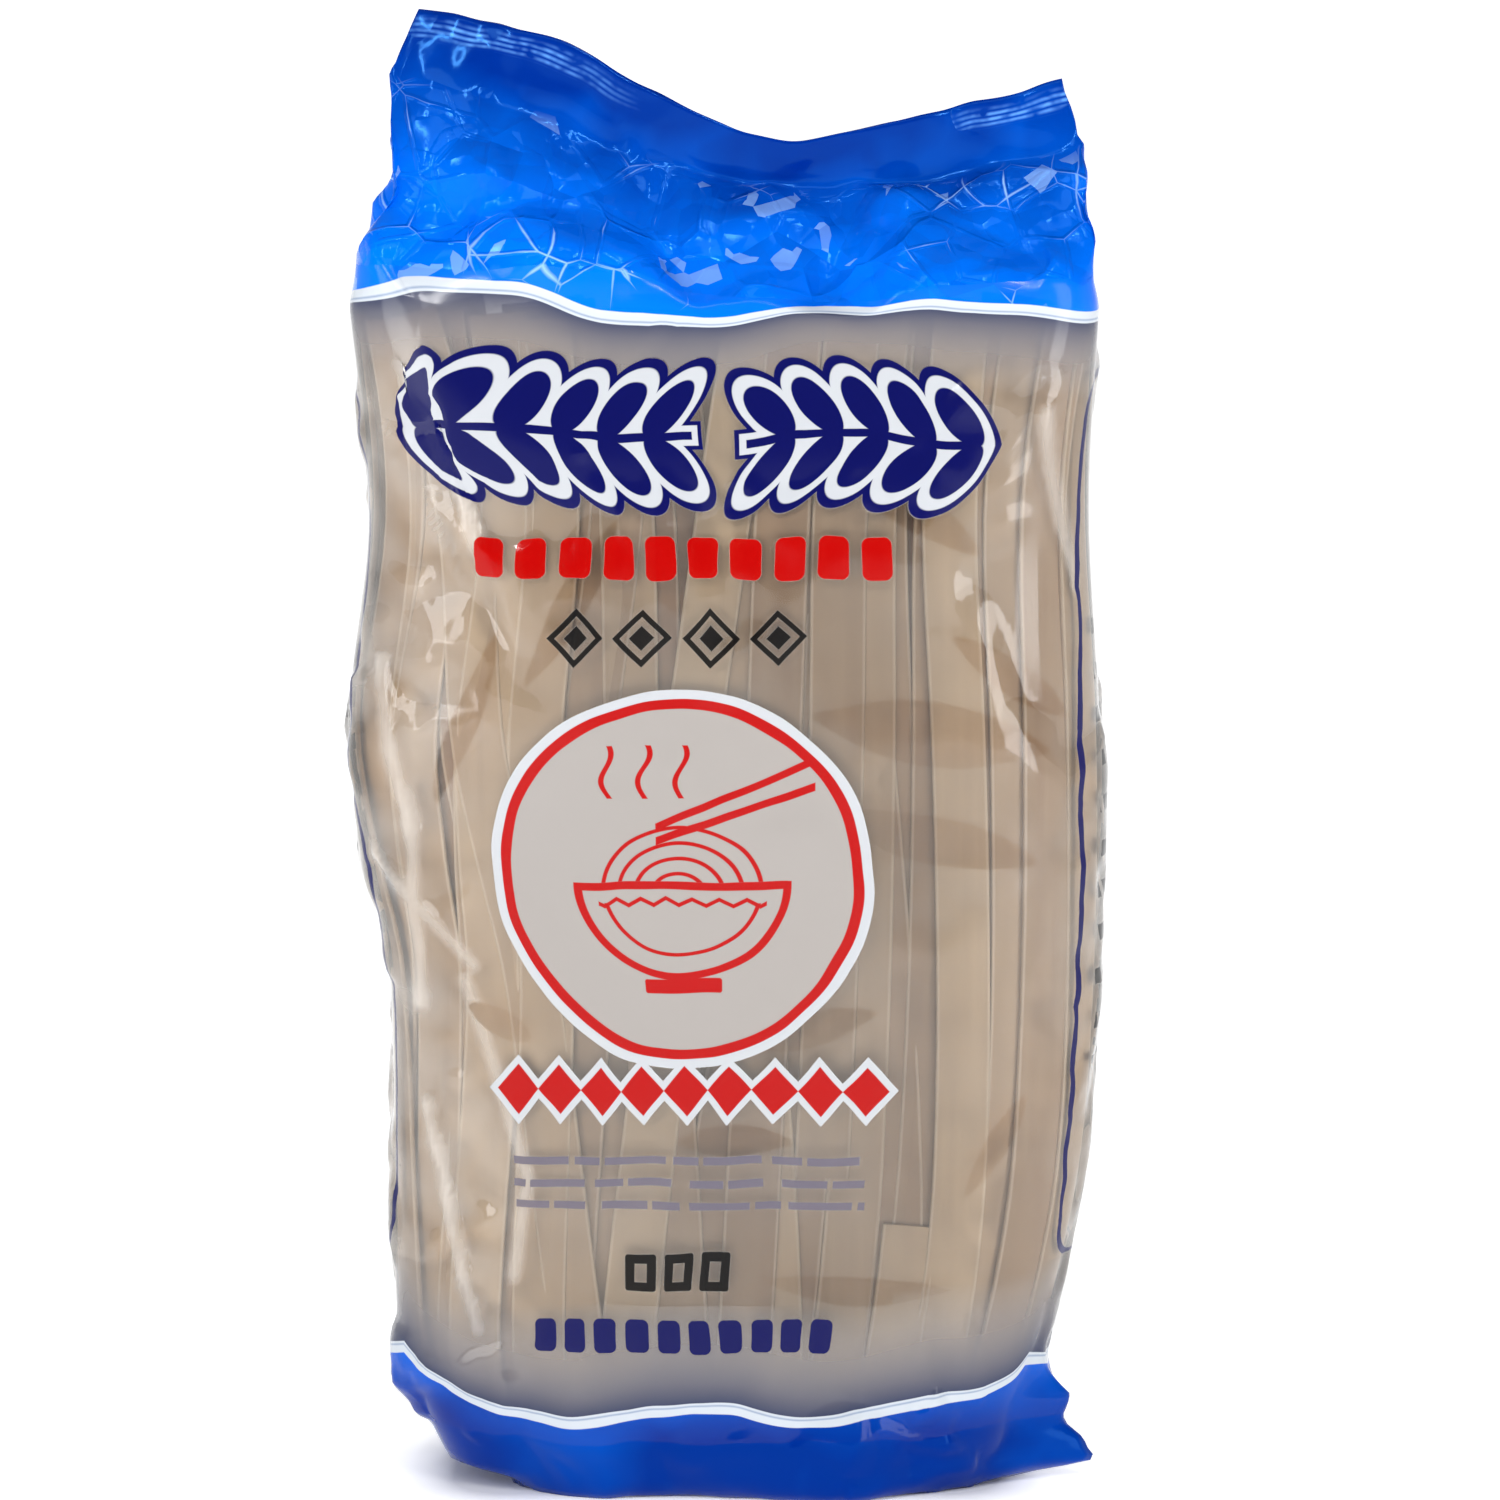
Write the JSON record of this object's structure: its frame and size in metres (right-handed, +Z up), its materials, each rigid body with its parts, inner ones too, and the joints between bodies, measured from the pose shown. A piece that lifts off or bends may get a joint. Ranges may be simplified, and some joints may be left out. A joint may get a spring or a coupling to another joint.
{
  "type": "pack of wide rice noodles",
  "caption": "Upright sealed clear film pack with printed ends, full of long flat dried rice noodles, with a standing top seal and a folded foot.",
  "frame": {"origin": "under the middle of the flat face that the pack stands on", "axes": "+X across the pack to the right as seen from its printed front, +Y from the front to the back, +Z up along the noodles to the standing seal"},
  "size_m": [0.1375, 0.0549, 0.2687],
  "materials": {
    "clear_film": "clear crinkled glossy film, a little milky",
    "printed_film": "glossy crinkled film, printed blue with white borders",
    "noodle": "dry, semi-translucent, faintly streaked rice noodle"
  },
  "bodies": {
    "root": {"noodle_pack": "clear_film"}
  },
  "joints": []
}
